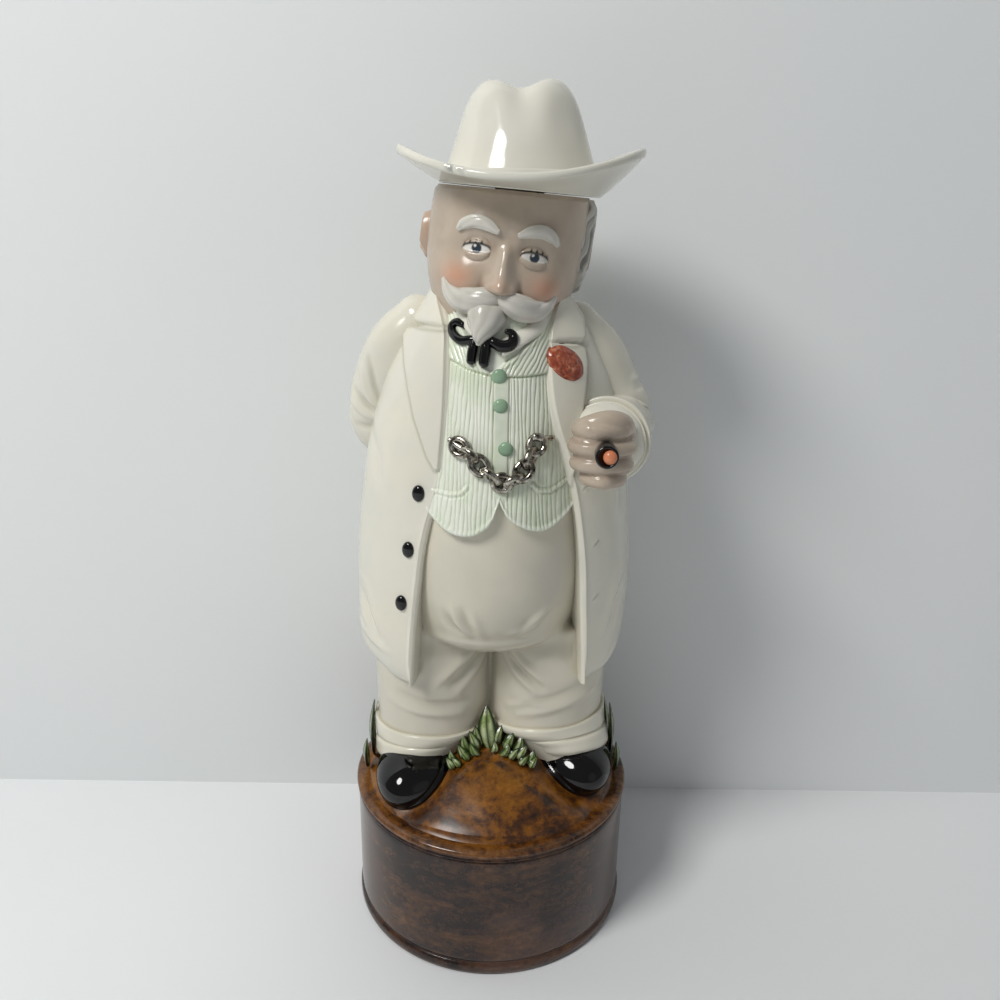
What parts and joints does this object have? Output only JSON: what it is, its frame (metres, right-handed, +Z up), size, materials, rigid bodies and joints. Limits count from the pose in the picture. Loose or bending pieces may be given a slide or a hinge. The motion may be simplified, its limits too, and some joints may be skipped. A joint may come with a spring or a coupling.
{
  "type": "figural liquor decanter",
  "caption": "Glazed ceramic liquor decanter in the form of a stout gentleman in a white coat, with a lift-off hat stopper and a wind-up musical base.",
  "frame": {"origin": "centre of the drum's foot, on the surface that the decanter stands on", "axes": "+Z up along the figure, the front of the figure towards -Y, +X to the viewer's right"},
  "size_m": [0.1148, 0.112, 0.3209],
  "materials": {
    "white_glaze": "glossy off-white glaze",
    "skin_glaze": "glossy, blushed cheeks",
    "hair_glaze": "glossy, streaked",
    "waistcoat_glaze": "glossy, fine ribs",
    "button_green": "glossy",
    "black_glaze": "glossy",
    "drum_glaze": "glossy, mottled",
    "ground_glaze": "glossy, mottled",
    "silver_lustre": "metallic lustre",
    "flower_glaze": "glossy, mottled",
    "ember_glaze": "glossy",
    "leaf_glaze": "glossy, dark outlines",
    "seal_plastic": "satin",
    "hardboard": "matte",
    "brass": "satin",
    "steel": "satin",
    "zinc_casting": "as cast"
  },
  "bodies": {
    "decanter": {"drum_base": "drum_glaze", "ground_casting": "ground_glaze", "figure_casting": "white_glaze", "head_casting": "skin_glaze", "hair": "hair_glaze", "moustache": "white_glaze", "goatee": "white_glaze", "eyebrows": "white_glaze", "rear_sleeve": "white_glaze", "rear_hand": "skin_glaze", "front_sleeve": "white_glaze", "front_hand": "skin_glaze", "cigar": "black_glaze", "cigar_ember": "ember_glaze", "left_shoe": "black_glaze", "right_shoe": "black_glaze", "waistcoat": "waistcoat_glaze", "waistcoat_buttons": "button_green", "coat_buttons": "black_glaze", "string_tie": "black_glaze", "watch_chain": "silver_lustre", "buttonhole_flower": "flower_glaze", "front_leaves": "leaf_glaze", "left_leaf": "leaf_glaze", "right_leaf": "leaf_glaze", "base_board": "hardboard", "movement_bedplate": "zinc_casting", "bedplate_screws": "steel", "spring_housing": "brass", "tune_comb": "steel", "comb_screws": "steel", "governor_frame": "steel"},
    "stopper": {"hat_stopper": "white_glaze", "stopper_seal": "seal_plastic"},
    "winder": {"winding_arbor": "steel", "winding_key": "steel"},
    "cylinder": {"tune_cylinder": "brass", "cylinder_wheel": "brass"},
    "governor": {"governor_wheel": "brass"},
    "fly": {"governor_fly": "steel"},
    "stop_pin": {"stop_pin": "steel"}
  },
  "joints": [
    {"name": "hat_lift", "type": "slide", "parent": "decanter", "child": "stopper", "axis": [0.0767, 0, 0.9971], "range_m": [0, 0.035]},
    {"name": "winder_turn", "type": "hinge", "parent": "decanter", "child": "winder", "pos_m": [-0.014, 0.006, 0.0102], "axis": [0, 0, 1], "continuous": true},
    {"name": "cylinder_turn", "type": "hinge", "parent": "decanter", "child": "cylinder", "pos_m": [0.0102, 0.003, 0.0283], "axis": [1, 0, 0], "continuous": true},
    {"name": "governor_turn", "type": "hinge", "parent": "decanter", "child": "governor", "pos_m": [0.0233, 0.01314, 0.0283], "axis": [1, 0, 0], "continuous": true},
    {"name": "fly_turn", "type": "hinge", "parent": "decanter", "child": "fly", "pos_m": [0.025, 0.01904, 0.0283], "axis": [0, 0, 1], "continuous": true},
    {"name": "stop_pin_slide", "type": "slide", "parent": "decanter", "child": "stop_pin", "axis": [0, 0, 1], "range_m": [-0.004, 0], "stiffness_N_per_m": 5, "springref_m": -0.004}
  ],
  "couplings": [
    {"joint": "governor_turn", "follows": "cylinder_turn", "ratio": -4},
    {"joint": "fly_turn", "follows": "cylinder_turn", "ratio": 40}
  ]
}
